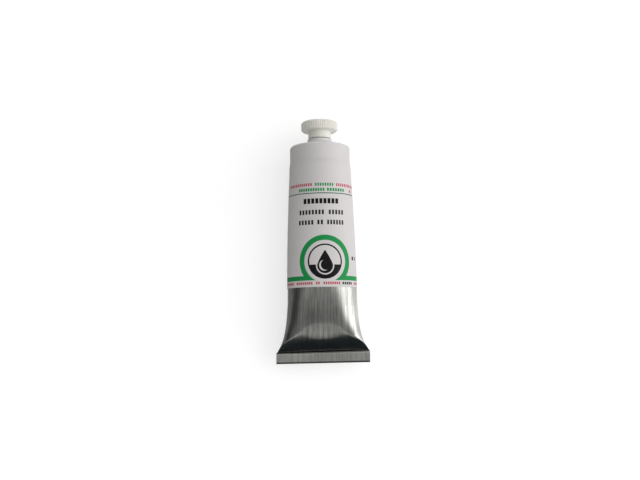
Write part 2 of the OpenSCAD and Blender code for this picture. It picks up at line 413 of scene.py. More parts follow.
def newGroup(name, inputs, outputs):
    # Shader node group with named sockets: (name, kind, start value)
    group = bpy.data.node_groups.new(name, "ShaderNodeTree")
    for title, kind, value in inputs:
        socket = group.interface.new_socket(title, in_out="INPUT", socket_type=kind)
        if value is not None:
            socket.default_value = value
    for title, kind in outputs:
        group.interface.new_socket(title, in_out="OUTPUT", socket_type=kind)
    return group, Wiring(group), group.nodes.new("NodeGroupInput"), group.nodes.new("NodeGroupOutput")


def useGroup(wiring, group, **values):
    made = wiring.node("ShaderNodeGroup", node_tree=group)
    for key, value in values.items():
        wiring.put(made.inputs[key], value)
    return made.outputs


floatKind, vectorKind = "NodeSocketFloat", "NodeSocketVector"
inkEdge = 0.04  # half the width over which print ends, in millimetres


def makeStreakGroup():
    # Fine scratches along the wall, in two widths, and a slow cloud over them
    group, w, given, out = newGroup("brushStreaks", [
        ("Map", vectorKind, None), ("Position", vectorKind, None), ("Fine", floatKind, 260.0),
        ("Coarse", floatKind, 75.0), ("Stretch", floatKind, 0.12),
    ], [("Streaks", floatKind), ("Broad", floatKind), ("Cloud", floatKind)])
    position = given.outputs["Position"]
    across, along, _ = w.split(given.outputs["Map"])

    def stretched(size, seed):
        x = w.times(across, given.outputs[size])
        y = w.times(w.times(along, given.outputs["Stretch"]), given.outputs[size])
        joined = w.node("ShaderNodeCombineXYZ")
        for socket, value in zip(joined.inputs, (x, y, seed)):
            w.put(socket, value)
        return w.noise(joined.outputs[0], 1.0, 2.0, 0.6)

    w.link(stretched("Fine", 3.0), out.inputs["Streaks"])
    w.link(stretched("Coarse", 11.0), out.inputs["Broad"])
    w.link(w.noise(position, 90.0, 3.0, 0.6), out.inputs["Cloud"])
    return group


def makeGrainGroup():
    # Fine moulded or fibrous grain, and soft handling marks over it
    group, w, given, out = newGroup("fineGrain", [
        ("Position", vectorKind, None), ("Grain", floatKind, 4000.0), ("Marks", floatKind, 160.0),
    ], [("Grain", floatKind), ("Marks", floatKind)])
    for title, detail in (("Grain", 2.0), ("Marks", 4.0)):
        noise = w.node("ShaderNodeTexNoise")
        w.link(given.outputs["Position"], noise.inputs["Vector"])
        w.link(given.outputs[title], noise.inputs["Scale"])
        noise.inputs["Detail"].default_value = detail
        w.link(noise.outputs["Fac"], out.inputs[title])
    return group


def makeBarGroup():
    # One printed bar on the label: 1 inside the box about (Across, Down), cut into blocks Pitch apart
    group, w, given, out = newGroup("printedBar", [
        ("U", floatKind, 0.0), ("V", floatKind, 0.0), ("Across", floatKind, 0.0), ("Down", floatKind, 0.0),
        ("HalfWide", floatKind, 1.0), ("HalfHigh", floatKind, 1.0), ("Pitch", floatKind, 2.0),
        ("Share", floatKind, 1.0),
    ], [("Ink", floatKind)])

    def inset(axis, middle, half):
        away = w.maths("ABSOLUTE", w.less(given.outputs[axis], given.outputs[middle]))
        return w.less(given.outputs[half], away)

    inside = w.least(inset("U", "Across", "HalfWide"), inset("V", "Down", "HalfHigh"))
    fromMiddle = w.less(given.outputs["U"], given.outputs["Across"])
    fromEnd = w.plus(fromMiddle, given.outputs["HalfWide"])
    place = w.maths("FRACT", w.maths("DIVIDE", fromEnd, given.outputs["Pitch"]))
    block = w.less(w.times(given.outputs["Share"], 0.5),
                    w.maths("ABSOLUTE", w.less(place, 0.5)))
    inside = w.least(inside, w.times(block, given.outputs["Pitch"]))
    w.link(w.ramp(inside, -inkEdge, inkEdge), out.inputs["Ink"])
    return group


streakGroup = makeStreakGroup()
grainGroup = makeGrainGroup()
barGroup = makeBarGroup()


metalLook = {
    "coat": (0.72, 0.70, 0.69, 1), "coatRoughness": 0.4,   # thin white base coat on rim, shoulder and collar
    "coatStart": (-2.0, -1.9), "coatEdge": 0.02, "coatRadius": (4.5, 4.8),
    "colour": (0.69, 0.695, 0.66, 1), "dull": (0.33, 0.335, 0.31, 1), "wornRange": (0.47, 0.8),
    "roughness": 0.23, "roughnessSpread": 0.14,
    "foldEdge": 0.1, "foldRub": -0.35,                     # the fold is rubbed bright
    # painted shade: the near-black colour and its share, laid along the fold's bottom edge and in the groove
    # above the fold
    "wearAndShade": (0.03, 0.03, 0.03, 1), "paintedShadeShare": 0.85, "grooveRange": (2.6, 0.4), "edgeRange": (1.0, 0.4),
    "pressed": -0.12, "pressedTop": 6.0, "pressedLow": 0.6,  # the closing jaws have pressed the facet smoother
    "bump": 0.00005, "bumpStrength": 0.5,
}


def makeMetal():
    material, shader = newMaterial("brushedAluminium")
    w = Wiring(material.node_tree)
    place = w.node("ShaderNodeTexCoord").outputs["Object"]
    wall = w.node("ShaderNodeUVMap", uv_map="UVMap").outputs[0]
    streaks, broad, cloud = useGroup(w, streakGroup, Map=wall, Position=place)
    marks = w.maths("MULTIPLY_ADD", streaks, 0.6, w.times(broad, 0.4))
    wearAndShade = w.ramp(w.maths("MULTIPLY_ADD", cloud, 0.3, marks), *metalLook["wornRange"])
    x, y, z = w.split(place)

    def between(value, edges, base=0.0, low=0.0, high=1.0):
        # ramp between two places given in millimetres from a base
        start, end = ((base + edge) * mm for edge in edges)
        return w.ramp(value, start, end, low, high)

    # the coat runs from under the label to the top of the collar, on the outside only
    collarTop = rimY + shoulder["rise"] + shoulder["collarH"]
    coatEdge = metalLook["coatEdge"]
    coat = w.times(between(y, metalLook["coatStart"], rimY),
                   between(y, (-coatEdge, coatEdge), collarTop, 1.0, 0.0))
    upward = w.maths("POWER", w.less(z, axisZ * mm), 2.0)
    radius = w.maths("POWER", w.plus(w.maths("POWER", x, 2.0), upward), 0.5)
    coat = w.times(coat, between(radius, metalLook["coatRadius"]))
    foldTop = rimY - body["length"]

    def above(slant, base):
        # height over a slanted edge, in metres
        level = w.maths("MULTIPLY_ADD", x, -slant, y)
        return w.less(level, (base + slant * foldHalfW) * mm)

    # the fold's bottom edge and the groove above it get painted shade, a near-black colour that follows their
    # slants
    edge = above(fold["skewLow"], foldBottom)
    groove = above(fold["skew"], foldTop)
    onFold = between(groove, (0.0, metalLook["foldEdge"]), 0.0, 1.0, 0.0)
    dullness = w.times(wearAndShade, w.maths("MULTIPLY_ADD", onFold, metalLook["foldRub"], 1.0))
    bare = w.mix(dullness, metalLook["colour"], metalLook["dull"])
    # painted shade: darker colour in the groove above the fold and along its bottom edge, where shade falls
    paintedShade = w.times(between(groove, metalLook["grooveRange"]), w.rest(onFold))
    paintedShade = w.most(paintedShade, between(edge, metalLook["edgeRange"]))
    bare = w.mix(w.times(paintedShade, metalLook["paintedShadeShare"]), bare, metalLook["wearAndShade"])
    w.link(w.mix(coat, bare, metalLook["coat"]), shader.inputs["Base Color"])
    w.link(w.rest(coat), shader.inputs["Metallic"])
    rough = w.maths("MULTIPLY_ADD", marks, metalLook["roughnessSpread"], metalLook["roughness"])
    pressed = between(y, (body["facetLen"], metalLook["pressedTop"]), foldTop)
    pressed = w.times(pressed, between(y, (0.0, metalLook["pressedLow"]), foldTop))
    rough = w.maths("MULTIPLY_ADD", pressed, metalLook["pressed"], rough)
    w.link(w.mix(coat, rough, metalLook["coatRoughness"]), shader.inputs["Roughness"])
    w.bump(shader, w.maths("MULTIPLY_ADD", broad, 0.7, streaks), metalLook["bumpStrength"], metalLook["bump"])
    return material


printLook = {
    "paper": (0.70, 0.675, 0.67, 1), "aged": (0.665, 0.645, 0.635, 1), "ink": (0.003, 0.003, 0.004, 1),
    "grey": (0.016, 0.016, 0.018, 1), "green": (0.008, 0.29, 0.07, 1), "darkGreen": (0.05, 0.16, 0.09, 1),
    "red": (0.56, 0.075, 0.12, 1), "roughness": 0.45, "specular": 0.15, "bump": 0.00002, "bumpStrength": 0.35,
}
ringPrint = {"across": 1.6, "down": 55.0, "outer": 12.2, "inner": 9.8, "disc": 8.1, "line": 0.7, "ground": 1.5}
bandPrint = {"top": 61.65, "bottom": 63.75}
rulePrint = {"down": 23.6, "half": 0.22}
dropPrint = {"radius": 3.7, "tip": 7.2, "low": 1.9, "outline": 0.6, "outlineTip": 1.6, "shine": 2.5}
# printed words, as plain bars of blocks: ink, middle across, middle down, width, height, blocks, inked share
barPrints = [
    ("red", -10.6, 19.65, 13.6, 1.35, 12, 0.66), ("green", 1.8, 19.65, 9.0, 1.35, 8, 0.66),
    ("red", 14.6, 19.65, 14.6, 1.35, 13, 0.66),
    ("green", -4.4, 22.0, 12.8, 1.35, 11, 0.72), ("green", 7.4, 22.0, 9.2, 1.35, 7, 0.72),
    ("red", 16.4, 22.0, 1.6, 1.35, 1, 0.8),
    ("ink", 0.1, 27.25, 17.0, 2.4, 9, 0.76),
    ("grey", -4.5, 32.35, 12.4, 2.1, 8, 0.62), ("grey", 7.3, 32.35, 7.8, 2.1, 5, 0.62),
    ("grey", -7.2, 37.0, 7.8, 2.1, 5, 0.62), ("grey", -0.4, 37.0, 3.2, 2.1, 2, 0.62),
    ("grey", 6.9, 37.0, 8.6, 2.1, 6, 0.62),
    ("ink", 16.2, 53.4, 1.5, 1.7, 1, 0.8), ("ink", 18.2, 53.4, 0.9, 1.7, 1, 0.8),
    ("red", -17.4, 65.05, 6.6, 1.2, 6, 0.72), ("red", -8.4, 65.05, 8.2, 1.2, 8, 0.72),
    ("red", -1.9, 65.05, 2.0, 1.2, 2, 0.72), ("red", 4.6, 65.05, 8.2, 1.2, 8, 0.72),
    ("ink", 12.4, 65.05, 5.6, 1.2, 5, 0.72), ("red", 19.2, 65.05, 5.6, 1.2, 5, 0.72),
]
uvWide = 96.0    # millimetres of girth in the label's map
uvHigh = 140.0   # millimetres of length in it, printed side and back together


def makePaper():
    material, shader = newMaterial("labelPaper")
    w = Wiring(material.node_tree)
    place = w.node("ShaderNodeTexCoord").outputs["Object"]
    uv = w.node("ShaderNodeUVMap", uv_map="UVMap").outputs[0]
    across, down, _ = w.split(uv)
    u = w.times(w.less(across, 0.5), uvWide)
    v = w.times(down, uvHigh)
    grain, marks = useGroup(w, grainGroup, Position=place, Grain=5200.0, Marks=120.0)
    colour = w.mix(w.ramp(marks, 0.45, 0.75, 0.0, 0.5), printLook["paper"], printLook["aged"])

    # ring, disc and drop are distances from the roundel's middle
    du = w.less(u, ringPrint["across"])
    dv = w.less(v, ringPrint["down"])

    def below(value, limit):
        return w.ramp(value, limit - inkEdge, limit + inkEdge, 1.0, 0.0)

    def distance(across, down):
        return w.maths("SQRT", w.plus(w.times(across, across), w.times(down, down)))

    away = distance(du, dv)
    inner = below(away, ringPrint["inner"])
    disc = below(away, ringPrint["disc"])
    rim = w.less(disc, below(away, ringPrint["disc"] - ringPrint["line"]))
    ring = w.times(below(away, ringPrint["outer"]), below(v, bandPrint["bottom"]))
    start = w.ramp(v, bandPrint["top"] - inkEdge, bandPrint["top"] + inkEdge)
    band = w.times(start, below(v, bandPrint["bottom"]))
    green = w.times(w.most(band, ring), w.rest(inner))

    def dropShape(radius, tip):
        # a drop of paint: half a circle, drawn out to a point above
        stretch = w.maths("DIVIDE", w.most(w.times(low, -1.0), 0.0), tip)
        narrow = w.rest(w.maths("POWER", w.least(stretch, 1.0), 1.3))
        side = w.less(w.maths("ABSOLUTE", du), w.times(narrow, radius))
        upper = w.times(below(side, 0.0), below(low, 0.0))
        upper = w.times(upper, w.rest(below(low, 0.1 - tip)))
        lower = w.times(below(distance(du, low), radius), w.rest(below(low, 0.0)))
        return w.most(upper, lower)

    low = w.less(dv, dropPrint["low"])
    drop = dropShape(dropPrint["radius"], dropPrint["tip"])
    grown = dropShape(dropPrint["radius"] + dropPrint["outline"], dropPrint["tip"] + dropPrint["outlineTip"])
    shine = w.less(below(distance(w.plus(du, 0.3), low), dropPrint["shine"]),
                   below(distance(w.plus(du, -0.5), w.plus(low, 0.3)), dropPrint["shine"]), clamp=True)
    # dark ground with a light edge round the drop, and a light crescent in it
    ground = w.rest(below(dv, ringPrint["ground"]))
    roundel = w.times(ground, w.rest(grown))
    roundel = w.plus(roundel, w.times(drop, w.rest(shine)))
    roundel = w.most(w.times(roundel, disc), rim)

    ruleAway = w.maths("ABSOLUTE", w.less(v, rulePrint["down"]))
    masks = {"ink": roundel, "green": green, "darkGreen": below(ruleAway, rulePrint["half"])}
    for ink, across, down, wide, high, blocks, share in barPrints:
        bar = useGroup(w, barGroup, U=u, V=v, Across=across, Down=down, HalfWide=wide / 2, HalfHigh=high / 2,
                       Pitch=wide / blocks, Share=share)[0]
        masks[ink] = w.most(masks[ink], bar) if ink in masks else bar
    # the ink takes the paper's grain, so that it isn't quite solid
    solid = w.ramp(grain, 0.2, 0.55, 0.94, 1.0)
    printed = 0.0
    for ink, mask in masks.items():
        colour = w.mix(w.times(mask, solid), colour, printLook[ink])
        printed = w.most(mask, printed)
    w.link(colour, shader.inputs["Base Color"])
    rough = w.maths("MULTIPLY_ADD", marks, 0.14, printLook["roughness"] - 0.06)
    w.link(w.maths("MULTIPLY_ADD", printed, -0.06, rough), shader.inputs["Roughness"])
    w.bump(shader, w.maths("MULTIPLY_ADD", printed, 0.3, grain), printLook["bumpStrength"], printLook["bump"])
    shader.inputs["Specular IOR Level"].default_value = printLook["specular"]
    return material


def makePlastic(name, colour, shade, roughness, grainSize, marksSize, bumpSize, subsurface=0.0):
    # Moulded plastic or foam: grain in the bump, soft marks in colour and roughness
    material, shader = newMaterial(name)
    w = Wiring(material.node_tree)
    place = w.node("ShaderNodeTexCoord").outputs["Object"]
    grain, marks = useGroup(w, grainGroup, Position=place, Grain=grainSize, Marks=marksSize)
    w.link(w.mix(w.ramp(marks, 0.35, 0.75), colour, shade), shader.inputs["Base Color"])
    w.link(w.maths("MULTIPLY_ADD", marks, 0.16, roughness - 0.08), shader.inputs["Roughness"])
    w.bump(shader, grain, 0.4, bumpSize)
    shader.inputs["Subsurface Weight"].default_value = subsurface
    shader.inputs["Subsurface Scale"].default_value = 0.0015
    return material


metal = makeMetal()
paper = makePaper()
# name: colour, shade, roughness, sizes of grain and marks, height of the grain, light through it
plasticLook = {
    "capPlastic": ((0.86, 0.845, 0.785, 1), (0.82, 0.80, 0.73, 1), 0.4, 2600.0, 140.0, 0.00003, 0.15),
    "linerFoam": ((0.82, 0.81, 0.76, 1), (0.70, 0.69, 0.64, 1), 0.75, 7000.0, 500.0, 0.0001),
    "sealingLatex": ((0.56, 0.44, 0.2, 1), (0.45, 0.34, 0.14, 1), 0.5, 3000.0, 300.0, 0.00005),
    "oilPaint": ((0.88, 0.87, 0.83, 1), (0.84, 0.825, 0.77, 1), 0.22, 900.0, 200.0, 0.0001, 0.1),
}
capPlastic, foam, latex, paint = (makePlastic(name, *look) for name, look in plasticLook.items())
print("stage: materials")


def shellPoints():
    # One skin: up the outside from the fold, over rim, shoulder, collar and neck, and down the inside again
    columns = body["columns"]
    # section angles, from the back round to the back again
    angle = np.linspace(0, 2 * np.pi, columns, endpoint=False)
    t = (-np.pi / 2 - angle)[None, :]
    length, start = body["length"], body["bandLen"]
    # rows below the rim: on into the fold, the facets, the belly and the end of the stiff band
    outerS = np.concatenate([
        [length + 0.45, length + 0.2], length - np.linspace(0, 14.5, 66),
        np.linspace(length - 15.2, start + 4, 56),
        np.linspace(start + 3.6, start - 0.4, 12)])
    outer = bodyPoint(outerS[:, None], t, dent(outerS[:, None], t))
    seam = outer[:1].copy()
    seam[..., 2] = foldMid

    tilt = math.degrees(math.atan2(shoulder["rise"], body["roundR"] - shoulder["collarD"] / 2))
    cone = math.tan(math.radians(tilt))
    rim, rimR, rise = body["roundR"], shoulder["rimR"], shoulder["rise"]
    rimCut = rimR * math.tan(math.radians((90 - tilt) / 2))
    collarR, collarTop = shoulder["collarD"] / 2, rise + shoulder["collarH"]
    soft, foot, rootSoft = shoulder["collarR"], shoulder["foot"], shoulder["rootSoft"]
    neckTop = linerLow[1] - 0.05 - rimY  # the liner rests a hair's breadth above it
    root, bore, lip = shoulder["rootR"], shoulder["boreR"], shoulder["lip"]
    bandR = rim - body["bandWall"]
    boreLow = (rim - bore) * cone - shoulder["wall"]
    bandTop = body["bandWall"] * cone - shoulder["wall"]
    profile = np.concatenate([
        line((rim, -start + 0.7), (rim, -rimCut), 12),
        arcPoints(rim - rimR, -rimCut, rimR, 0, 90 - tilt, 8),
        line((rim - rimR * 1.6, rimR * 0.47), (collarR + foot, rise - foot * cone), 14),
        arcPoints(collarR + foot, rise - foot * cone + foot, foot, 270 - tilt, 180, 5),
        line((collarR, rise + foot + 0.1), (collarR, collarTop - soft), 5),
        arcPoints(collarR - soft, collarTop - soft, soft, 0, 90, 5),
        line((collarR - soft - 0.2, collarTop), (root + rootSoft, collarTop), 4),
        arcPoints(root + rootSoft, collarTop + rootSoft, rootSoft, 270, 180, 4),
        line((root, collarTop + 0.27), (root, neckTop - lip), 56),
        arcPoints(root - lip, neckTop - lip, lip, 0, 90, 5),
        line((root - lip - 0.08, neckTop), (bore + lip + 0.08, neckTop), 3),
        arcPoints(bore + lip, neckTop - lip, lip, 90, 180, 5),
        line((bore, neckTop - lip - 0.3), (bore, boreLow), 10),
        line((bore, boreLow), (bandR, bandTop), 12),
        line((bandR, bandTop), (bandR, -5.6), 6),
    ])
    turns = (neckTop - collarTop - thread["neckLead"] - 0.3) / thread["pitch"] - thread["halfBase"]

    def neckThread(r, u, a):
        onNeck = (np.abs(r - root) < 0.001) * ease((neckTop - lip - u) / 0.2)
        height = ridge(u - collarTop, a, thread["neckLead"], turns)
        return r + thread["height"] * height * onNeck

    middle = turned(profile, columns, neckThread, np.pi)
    innerS = np.concatenate([np.linspace(start - 0.4, length - 14, 16), length - np.linspace(13, 0.3, 14)])
    inner = bodyPoint(innerS[:, None], t, dent(innerS[:, None], t) - body["wall"])
    innerSeam = inner[-1:].copy()
    innerSeam[..., 2] = foldMid
    grid = np.concatenate([seam, outer, middle, inner, innerSeam])
    # map: share of the girth across, length along the wall down
    steps = np.linalg.norm(np.roll(grid, -1, axis=1) - grid, axis=2)
    share = np.cumsum(steps, axis=1) / np.maximum(steps.sum(axis=1, keepdims=True), 1e-6)
    share = np.concatenate([np.zeros((len(grid), 1)), share[:, :-1]], axis=1)
    along = np.concatenate([[0], np.cumsum(np.linalg.norm(np.diff(grid.mean(axis=1), axis=0), axis=1))])
    return grid, np.stack([share, np.broadcast_to(along[:, None] / streakLen, share.shape)], -1)


def foldPoints():
    # Cross-section of the folded end, a spiral strip, carried across the tube with a slight wave
    thick = 2 * body["wall"] + fold["extra"]
    step = thick + fold["gap"]
    bend, lowBend = step / 2, step
    low, high = -fold["height"] + lowBend + thick / 2, -0.12 - bend - thick / 2  # where the bends begin
    # the strip runs down at the back, round the bottom, up at the front, over the top and down inside
    path = np.concatenate([
        line((0.35, 0), (low, 0), 10),
        arcPoints(low, lowBend, lowBend, 270, 90, 16),
        line((low + 0.25, 2 * step), (high, 2 * step), 9),
        arcPoints(high, 2 * step - bend, bend, 90, -90, 10),
        line((high - 0.25, step), (low + 0.2, step), 8),
        [[low + 0.1, step]],
    ])
    ahead = np.gradient(path, axis=0)
    ahead /= np.linalg.norm(ahead, axis=1)[:, None]
    side = np.column_stack([-ahead[:, 1], ahead[:, 0]])
    strip = [path + side * thick / 2, path - side * thick / 2]
    columns = fold["columns"]
    x = np.linspace(-foldHalfW, foldHalfW, columns)[:, None]
    edge = ease((foldHalfW - np.abs(x)) / fold["endSoft"])
    points = []
    for outline in strip:
        wave = fold["wave"] * (np.sin(0.47 * x + 0.4) * 0.6 + np.sin(1.33 * x + 2.0) * 0.25) * edge
        press = fold["press"] * np.sin(2.9 * x + 0.8 * outline[None, :, 0]) * edge
        away = np.clip(-outline[None, :, 0] / fold["height"], 0, 1)
        slant = fold["skew"] + (fold["skewLow"] - fold["skew"]) * away
        y = rimY - body["length"] + outline[None, :, 0] + slant * (x + foldHalfW)
        z = foldMid + outline[None, :, 1] + (wave + press) * ease(away)
        points.append(np.stack([np.broadcast_to(x, z.shape), np.broadcast_to(y, z.shape), z], -1))
    along = np.concatenate([[0], np.cumsum(np.linalg.norm(np.diff(path, axis=0), axis=1))])
    share = 0.25 + 0.5 * (x / foldHalfW + 1) / 2
    uv = np.stack(np.broadcast_arrays(share, along[None, :] / streakLen + 0.5), -1).reshape(-1, 2)
    return points, columns, len(path), np.concatenate([uv, uv])


def makeShell():
    grid, uv = shellPoints()
    rows, columns = grid.shape[:2]
    skin = makeMesh("shellSkin", grid.reshape(-1, 3), gridFaces(rows, columns), uv.reshape(-1, 2))
    closeUp(skin)
    (front, back), columns, count, uv = foldPoints()
    points = np.concatenate([front.reshape(-1, 3), back.reshape(-1, 3)])
    folded = makeMesh("foldedEnd", points, sheetFaces(columns, count, 1), uv)
    closeUp(folded)
    sharpen(folded, 50)
    sharpen(skin, 60)
    shell = joinPieces([skin, folded], "tubeShell")
    shell.data.materials.append(metal)
    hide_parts("tube_shell")
    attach(shell, "tube")
    return shell


shellPiece = makeShell()
print("stage: tube shell", len(shellPiece.data.polygons))


label = {
    "lapMiddle": 230.0, "lapWidth": 6.0, "bridge": 2.4, "lapGap": 0.015,
    "calm": (9, 4),  # the wall's dents come through below this, over this length
    "rows": 110, "columns": 300,
}


def makeLabel():
    # A sheet that goes once round the body and laps over its own start at the back
    rows, columns = label["rows"], label["columns"]
    lapAngle = label["lapWidth"] / body["roundR"]
    start = math.radians(label["lapMiddle"]) - lapAngle / 2
    turn = np.linspace(0, 2 * np.pi + lapAngle, columns)
    t = (start + turn)[None, :]
    labelLen = labelTop - labelLow[1]
    top = rimY - labelTop
    s = (top + np.linspace(0, labelLen, rows))[:, None]
    bridge = label["bridge"] / body["roundR"]
    lift = (sheet["paper"] + label["lapGap"]) * ease((turn - 2 * np.pi + bridge) / bridge)[None, :]
    inside = bandSink + sheet["glue"]
    calm, calmLen = label["calm"]
    # below the rounded rim the label ends a hair's breadth away from the wall
    sheets = []
    for out in (inside, inside + sheet["paper"]):
        side = bodyPoint(s, t, dent(s, t) * ease((s - calm) / calmLen) + out + lift)
        side[..., 2] = np.maximum(side[..., 2], 0)
        sheets.append(side)
    inner, outer = sheets
    # length round the sheet from the middle of the front, for the print
    steps = np.linalg.norm(np.diff(outer, axis=1), axis=2)
    girth = np.concatenate([np.zeros((rows, 1)), np.cumsum(steps, axis=1)], axis=1)
    front = (np.pi / 2 - start) % (2 * np.pi)
    zero = np.array([np.interp(front, turn, r) for r in girth])[:, None]
    u = 0.5 - (girth - zero) / uvWide
    v = np.broadcast_to(s / uvHigh, u.shape)
    uvOut = np.stack([u, v], -1).reshape(-1, 2)
    uvIn = np.stack([u, v + 0.5], -1).reshape(-1, 2)
    points = np.concatenate([inner.reshape(-1, 3), outer.reshape(-1, 3)])
    piece = makeMesh("paperLabel", points, sheetFaces(rows, columns, 0), np.concatenate([uvIn, uvOut]))
    closeUp(piece)
    sharpen(piece, 50)
    piece.data.materials.append(paper)
    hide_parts("label")
    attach(piece, "tube")
    return piece


labelPiece = makeLabel()
print("stage: label", len(labelPiece.data.polygons))


cap = {
    "headD": 17.3, "headH": 4.5, "skirtD": 10.8, "skirtH": 3.67, "ribs": 60, "ribDepth": 0.28,
    "topT": 1.5, "dish": 0.3, "dishR": 6.0, "topR": 0.85, "underR": 0.5, "skirtR": 0.25,
    "inRoot": 0.5,  # fillet between head and skirt
    "boreR": 4.65, "mouthR": 0.35, "columns": 480,
}


def makeCap():
    # One profile from the middle of the top, over the ribbed head and the skirt, and up the bore again
    mouth = capMouth - rimY
    core, skirtR, boreR = cap["headD"] / 2 - cap["ribDepth"], cap["skirtD"] / 2, cap["boreR"]
    height, skirtH = cap["headH"] + cap["skirtH"], cap["skirtH"]
    depth = height - cap["topT"]
    topR, underR, inRoot, dishR = cap["topR"], cap["underR"], cap["inRoot"], cap["dishR"]
    softR, mouthR = cap["skirtR"], cap["mouthR"]
    profile = np.concatenate([
        line((0, height - cap["dish"]), (dishR - 0.35, height - cap["dish"]), 8),
        arcPoints(dishR - 0.35, height - cap["dish"] + 0.18, 0.18, 270, 340, 4),
        arcPoints(dishR + 0.05, height - 0.14, 0.14, 160, 90, 4),
        line((dishR + 0.25, height), (core - topR, height), 5),
        arcPoints(core - topR, height - topR, topR, 90, 0, 12),
        line((core, height - topR - 0.1), (core, skirtH + underR), 22),
        arcPoints(core - underR, skirtH + underR, underR, 0, -90, 8),
        line((core - underR - 0.1, skirtH), (skirtR + inRoot, skirtH), 8),
        arcPoints(skirtR + inRoot, skirtH - inRoot, inRoot, 90, 180, 6),
        line((skirtR, skirtH - inRoot - 0.1), (skirtR, softR), 9),
        arcPoints(skirtR - softR, softR, softR, 0, -90, 6),
        arcPoints(boreR + mouthR, mouthR, mouthR, 270, 180, 5)[1:],
        line((boreR, mouthR + 0.1), (boreR, depth - 0.1), 70),
        arcPoints(boreR - 0.1, depth - 0.1, 0.1, 0, 90, 3),
        line((boreR - 0.3, depth), (0, depth), 6),
        [[0, depth]],
    ])
    profile[:, 1] += mouth

    def ribbed(r, u, a):
        # ribs stand on the side of the head and run out over its rounded edges
        h = u - mouth
        onHead = (r > skirtR + 1) * ease((h - skirtH - 0.1) / 0.55) * ease((height - 0.18 - h) / 0.75)
        crest = ease(0.5 + np.cos(cap["ribs"] * a) * 0.85)
        r = r + cap["ribDepth"] * crest * onHead * ease((r - core + topR) / topR)
        inBore = np.abs(r - boreR) < 0.001
        return r - thread["height"] * ridge(h, a, thread["capLead"], thread["capTurns"]) * inBore

    grid = turned(profile, cap["columns"], ribbed)
    rows, columns = grid.shape[:2]
    piece = makeMesh("screwCap", grid.reshape(-1, 3), gridFaces(rows, columns))
    closeUp(piece, 1e-6)
    sharpen(piece, 70)
    piece.data.materials.append(capPlastic)
    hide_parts("cap")
    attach(piece, "cap")
    return piece


capPiece = makeCap()
print("stage: cap", len(capPiece.data.polygons))


liner = {"edge": 0.12, "ringDepth": 0.04, "ringSlope": 0.1, "columns": 96}
fill = {
    "columns": 160, "clear": 0.05, "start": 2, "end": 2.2, "dentShare": 0.5,
    "sink": 0.16, "dome": 0.12, "swirl": 0.05,  # its face in the neck
}
bead = {"columns": 160, "clear": 0.12, "length": 2.0, "end": 0.55, "lumps": 0.08}


def makeLiner():
    # Punched foam disc: slightly rounded edges, and the ring that the neck has pressed into its face
    low, high = linerLow[1] - rimY, linerHigh[1] - rimY
    r = (linerHigh[0] - linerLow[0]) / 2
    soft, ringDepth, slope = liner["edge"], liner["ringDepth"], liner["ringSlope"]
    pressed = np.array([[shoulder["rootR"] + slope, 0.0], [shoulder["rootR"] - slope, ringDepth],
                        [shoulder["boreR"] + slope, ringDepth], [shoulder["boreR"] - slope, 0.0]])
    profile = np.concatenate([
        line((0, high), (r - soft, high), 8),
        arcPoints(r - soft, high - soft, soft, 90, 0, 5),
        arcPoints(r - soft, low + soft, soft, 0, -90, 5),
        pressed + [0, low],
        line((shoulder["boreR"] - 0.4, low), (0, low), 6),
        [[0, low]],
    ])
    grid = turned(profile, liner["columns"])
    rows, columns = grid.shape[:2]
    piece = makeMesh("linerDisc", grid.reshape(-1, 3), gridFaces(rows, columns))
    closeUp(piece, 1e-6)
    sharpen(piece, 50)
    piece.data.materials.append(foam)
    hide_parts("cap_liner")
    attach(piece, "liner")
    return piece


def makePaint():
    # Fills the body up to the foot of the neck bore, where its face is a slightly uneven dome
    columns = fill["columns"]
    angle = np.linspace(0, 2 * np.pi, columns, endpoint=False)[None, :]
    t = np.pi / 2 - angle
    length = body["length"]
    high = corners(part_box("oil_paint"))[1]
    inset = -body["bandWall"] - fill["clear"] + bandSink
    tilt = math.atan2(shoulder["rise"], body["roundR"] - shoulder["collarD"] / 2)
    mouthR = shoulder["boreR"]
    inMouth, outside = np.linspace(0, mouthR, 8), np.linspace(mouthR, body["roundR"] + inset - bandSink, 16)[1:]
    r = np.concatenate([inMouth, outside])
    sink = rimY - high[1] + np.maximum(r - mouthR, 0) * math.tan(tilt)
    dome = fill["dome"] * (1 - np.clip(r / mouthR, 0, 1) ** 2)
    wide = r[:, None]
    swirl = fill["swirl"] * np.sin(3 * angle + 1.6 * wide) * np.clip(1 - wide / mouthR, 0, 1) * wide / mouthR
    y = rimY - (sink + fill["sink"] - dome)[:, None] - swirl
    face = np.stack([wide * np.sin(angle), y, axisZ + wide * np.cos(angle)], -1)
    s = np.concatenate([
        np.linspace(fill["start"], length - 14, 40), length - np.linspace(13.4, fill["end"], 20)])
    side = bodyPoint(s[:, None], t, inset + dent(s[:, None], t) * fill["dentShare"])
    seam = side[-1:].copy()
    seam[..., 2] = foldMid
    grid = np.concatenate([face, side, seam])
    rows = len(grid)
    piece = makeMesh("paintFill", grid.reshape(-1, 3), gridFaces(rows, columns))
    closeUp(piece, 1e-6)
    piece.data.materials.append(paint)
    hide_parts("oil_paint")
    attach(piece, "tube")
    return piece


def makeSealant():
    # Bead inside the pressed end, as wide as the end and slightly lumpy along its front
    columns = bead["columns"]
    t = (np.pi / 2 - np.linspace(0, 2 * np.pi, columns, endpoint=False))[None, :]
    front, back = body["length"] - bead["length"], body["length"] - bead["end"]
    s = np.concatenate([[front], body["length"] - np.linspace(bead["length"], bead["end"], 8), [back]])[:, None]
    lumps = bead["lumps"] * np.sin(9 * np.cos(t) + 0.5) * (s < front + 0.1)
    grid = bodyPoint(s + lumps, t, np.full((1, columns), -body["wall"] - bead["clear"]))
    grid[0, :, 2] = grid[-1, :, 2] = foldMid
    rows = len(grid)
    piece = makeMesh("latexBead", grid.reshape(-1, 3), gridFaces(rows, columns))
    closeUp(piece, 1e-6)
    piece.data.materials.append(latex)
    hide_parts("end_sealant")
    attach(piece, "tube")
    return piece


makeLiner()
makePaint()
makeSealant()
print("stage: liner, paint and sealant")


